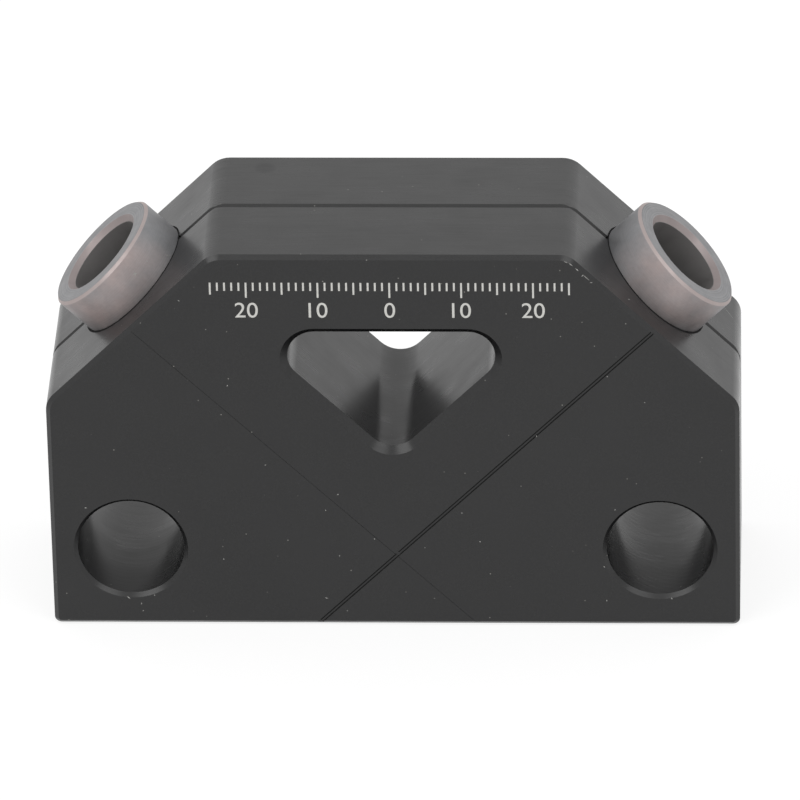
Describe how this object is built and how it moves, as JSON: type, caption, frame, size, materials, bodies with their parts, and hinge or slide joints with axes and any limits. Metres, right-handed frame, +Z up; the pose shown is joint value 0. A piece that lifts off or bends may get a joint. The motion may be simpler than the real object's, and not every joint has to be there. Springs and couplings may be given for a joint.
{
  "type": "angle drilling guide",
  "caption": "Black anodised block with pressed-in steel drill bushes at 45 degrees on both shoulders, clamp holes, a three-cornered window and crossed index grooves",
  "frame": {"origin": "centre of the foot face, on the surface that the guide stands on", "axes": "+X along the width towards the right bush, +Y through the thickness to the back, +Z up"},
  "size_m": [0.0974, 0.029, 0.06],
  "materials": {
    "black_anodised": "milled aluminium, black anodised and satin, with faint milling marks and a few light scratches",
    "bush_steel": "hardened and ground steel with turning rings and brownish heat tint"
  },
  "bodies": {
    "root": {"guide_block": "black_anodised", "left_drill_bush": "bush_steel", "right_drill_bush": "bush_steel"}
  },
  "joints": []
}
